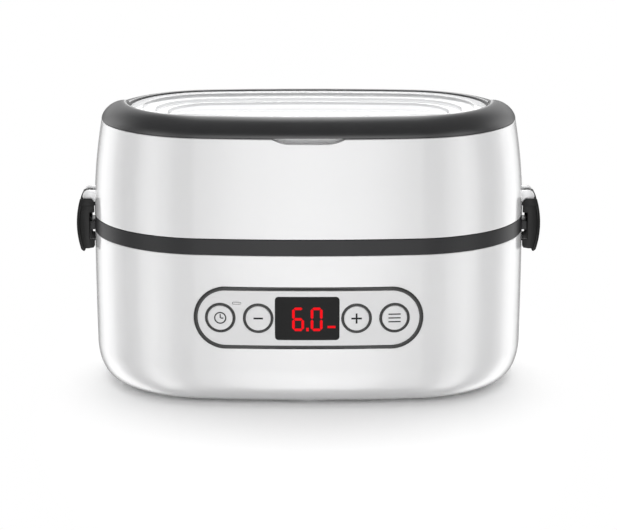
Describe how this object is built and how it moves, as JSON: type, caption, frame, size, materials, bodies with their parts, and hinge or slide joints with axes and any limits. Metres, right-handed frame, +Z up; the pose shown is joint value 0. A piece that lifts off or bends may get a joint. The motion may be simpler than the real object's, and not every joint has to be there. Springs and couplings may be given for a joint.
{
  "type": "electric lunch box",
  "caption": "Oval tiered electric lunch box with a heated base, a latched cover, a folding carry handle around a clear stepped window and a key panel with a display.",
  "frame": {"origin": "on the ground plane under the middle of the body, at the undersides of the feet", "axes": "+X to the right of a person facing the control panel, +Y to the back (the control panel faces -Y), +Z up"},
  "size_m": [0.2594, 0.1409, 0.158],
  "materials": {
    "white_shell": "glossy",
    "white_key": "satin",
    "plate_plastic": "matte",
    "band_plastic": "satin",
    "ring_plastic": "satin",
    "latch_plastic": "satin",
    "trim_plastic": "satin",
    "clear_window": "clear, polished",
    "black_window": "polished",
    "lens": "satin, translucent",
    "bowl_plastic": "satin",
    "lid_plastic": "satin, translucent",
    "silicone": "matte",
    "foot_rubber": "matte",
    "stainless": "brushed",
    "steel": "plain",
    "aluminium": "cast",
    "brass": "plain",
    "black_plastic": "matte",
    "green_board": "satin",
    "green_plastic": "matte",
    "relay_plastic": "matte",
    "winding": "wound",
    "phenolic": "matte",
    "ceramic": "matte",
    "lead_red": "matte",
    "lead_brown": "matte",
    "ribbon_grey": "matte"
  },
  "bodies": {
    "base": {"base_shell": "white_shell", "bottom_plate": "plate_plastic", "feet": "foot_rubber", "plate_screws": "steel", "band_ring": "band_plastic", "band_seal": "silicone", "heating_pan": "stainless", "heater_plate": "aluminium", "heating_tube": "steel", "heat_shield": "steel", "thermostat": "phenolic", "thermal_fuse": "ceramic", "temperature_sensor": "brass", "power_board": "green_board", "board_screws": "steel", "transformer": "winding", "relay": "relay_plastic", "capacitors": "black_plastic", "terminal_block": "green_plastic", "power_inlet": "black_plastic", "inlet_pins": "brass", "inlet_leads": "lead_brown", "heater_leads": "lead_red", "ribbon_cable": "ribbon_grey", "control_board": "green_board", "control_chip": "black_plastic", "tact_switches": "black_plastic", "led_display": "black_plastic", "display_window": "black_window", "panel_face": "white_key", "panel_trim": "trim_plastic", "key_rings": "trim_plastic", "indicator_lens": "lens", "lower_bowl": "bowl_plastic", "lower_lid": "lid_plastic", "lid_seals": "silicone", "steam_rack": "stainless", "upper_bowl": "bowl_plastic", "upper_lid": "lid_plastic"},
    "cover": {"cover_shell": "white_shell", "cover_seal": "silicone", "window_seal": "silicone", "window": "clear_window", "rear_trim": "ring_plastic", "trim_screws": "steel", "handle_pins": "steel", "latch_pins": "steel"},
    "handle": {"handle": "ring_plastic"},
    "latch_left": {"latch_left": "latch_plastic"},
    "latch_right": {"latch_right": "latch_plastic"},
    "timer_key": {"timer_key": "white_key"},
    "minus_key": {"minus_key": "white_key"},
    "plus_key": {"plus_key": "white_key"},
    "menu_key": {"menu_key": "white_key"}
  },
  "joints": [
    {"name": "cover_lift", "type": "slide", "parent": "base", "child": "cover", "axis": [0, 0, 1], "range_m": [0, 0.12]},
    {"name": "handle_hinge", "type": "hinge", "parent": "cover", "child": "handle", "pos_m": [0, -0.0021, 0.1533], "axis": [-1, 0, 0], "range_deg": [0, 90]},
    {"name": "latch_left_hinge", "type": "hinge", "parent": "cover", "child": "latch_left", "pos_m": [-0.1232, 0, 0.1045], "axis": [0, 1, 0], "range_deg": [0, 100]},
    {"name": "latch_right_hinge", "type": "hinge", "parent": "cover", "child": "latch_right", "pos_m": [0.1232, 0, 0.1045], "axis": [0, -1, 0], "range_deg": [0, 100]},
    {"name": "timer_key_press", "type": "slide", "parent": "base", "child": "timer_key", "axis": [0, 1, 0], "range_m": [0, 0.0008], "stiffness_N_per_m": 1000},
    {"name": "minus_key_press", "type": "slide", "parent": "base", "child": "minus_key", "axis": [0, 1, 0], "range_m": [0, 0.0008], "stiffness_N_per_m": 1000},
    {"name": "plus_key_press", "type": "slide", "parent": "base", "child": "plus_key", "axis": [0, 1, 0], "range_m": [0, 0.0008], "stiffness_N_per_m": 1000},
    {"name": "menu_key_press", "type": "slide", "parent": "base", "child": "menu_key", "axis": [0, 1, 0], "range_m": [0, 0.0008], "stiffness_N_per_m": 1000}
  ]
}
